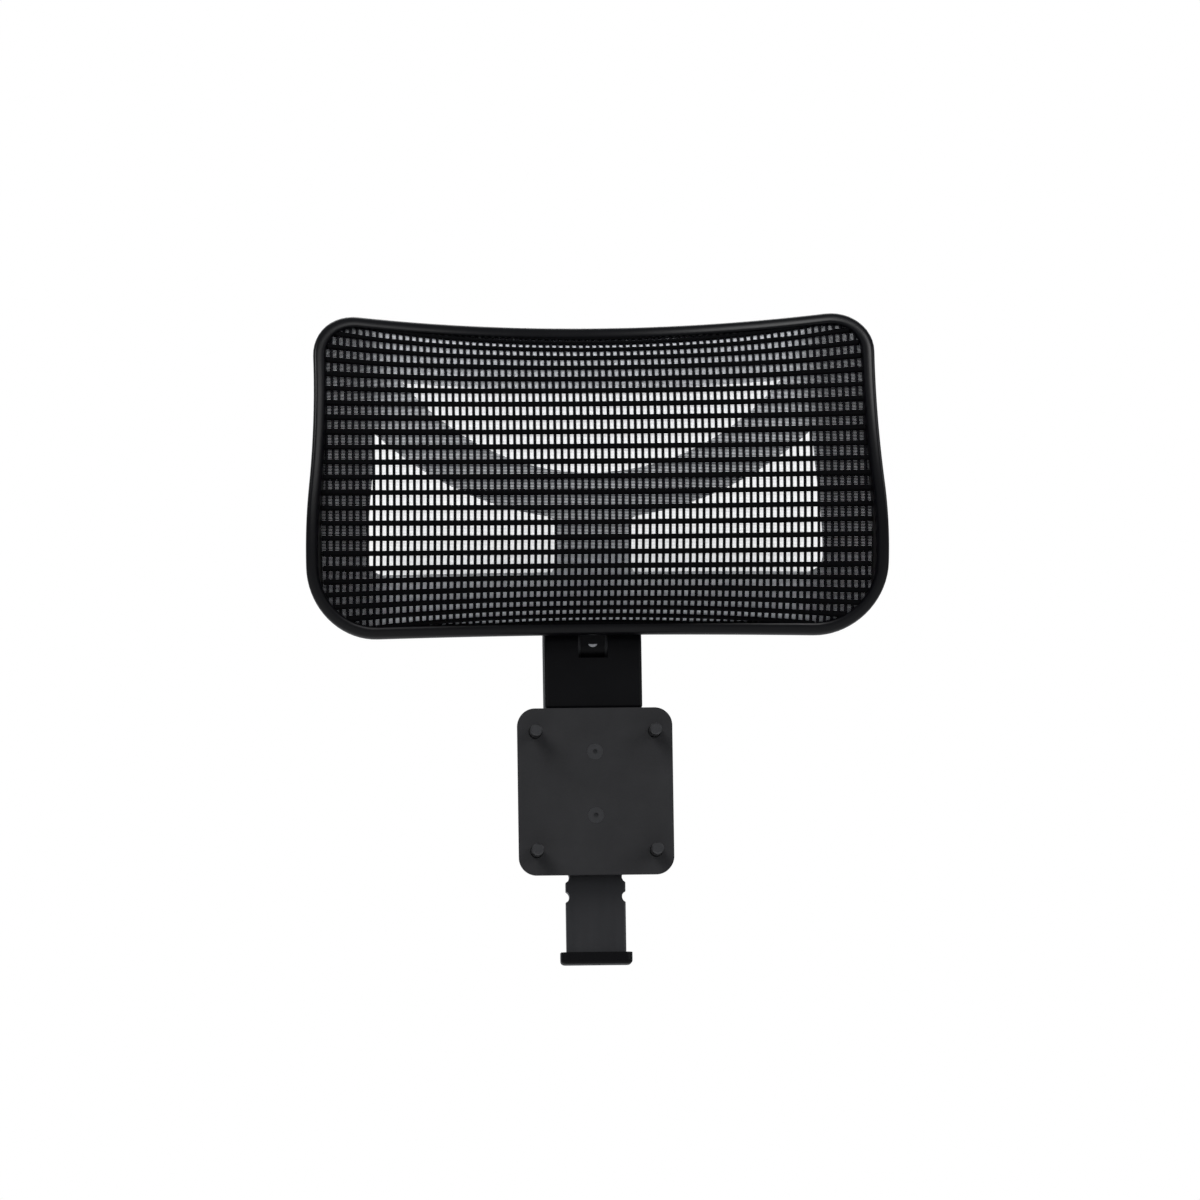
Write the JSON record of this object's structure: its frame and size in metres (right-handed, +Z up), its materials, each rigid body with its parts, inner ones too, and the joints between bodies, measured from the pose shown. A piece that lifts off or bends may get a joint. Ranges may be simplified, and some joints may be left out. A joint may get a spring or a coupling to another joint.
{
  "type": "chair headrest attachment",
  "caption": "Saddle-shaped mesh headrest on a yoke, with a friction tilt hinge and a notched height stem in a bolt-on sleeve.",
  "frame": {"origin": "centre of the four mounting bolts, on the front face of the bracket plate, where it meets the chair's back", "axes": "+Z up along the stem, -Y towards the user's head and the chair, +X across the headrest"},
  "size_m": [0.2908, 0.0941, 0.3234],
  "materials": {
    "moulded_black": "fine-textured black moulded nylon",
    "ring_black": "satin black moulded nylon",
    "edge_rubber": "matt black edge strip",
    "woven_mesh": "black elastic leno mesh with raised cross bands",
    "painted_steel": "black powder coat",
    "stem_steel": "smooth black coated steel, worn along its edges",
    "bright_steel": "ground steel",
    "dark_fastener": "black zinc plated steel",
    "guide_plastic": "dark grey acetal"
  },
  "bodies": {
    "mount": {"bracket_plate": "painted_steel", "bracket_screws": "dark_fastener", "mount_bolts": "dark_fastener", "mount_washers": "dark_fastener", "sleeve_body": "moulded_black", "sleeve_cover": "moulded_black", "sleeve_screws": "dark_fastener", "upper_guide": "guide_plastic", "lower_guide": "guide_plastic", "detent_springs": "guide_plastic"},
    "stem": {"stem_bar": "stem_steel", "neck_block": "moulded_black", "stem_screws": "dark_fastener", "stem_end_stop": "moulded_black", "end_stop_screw": "dark_fastener", "hinge_cap_left": "moulded_black", "hinge_cap_right": "moulded_black", "friction_washers": "guide_plastic"},
    "head": {"yoke": "moulded_black", "yoke_screws": "dark_fastener", "screw_plugs": "moulded_black", "rear_frame": "moulded_black", "front_ring": "ring_black", "ring_screws": "dark_fastener", "mesh_edge_strip": "edge_rubber", "mesh_panel": "woven_mesh", "pivot_pin": "bright_steel", "retaining_rings": "dark_fastener", "pin_set_screw": "bright_steel"}
  },
  "joints": [
    {"name": "height_slide", "type": "slide", "parent": "mount", "child": "stem", "axis": [0, 0, 1], "range_m": [0, 0.05], "deforming": ["detent_springs"]},
    {"name": "head_tilt", "type": "hinge", "parent": "stem", "child": "head", "pos_m": [0, 0.018, 0.076], "axis": [1, 0, 0], "range_deg": [-20, 30]}
  ]
}
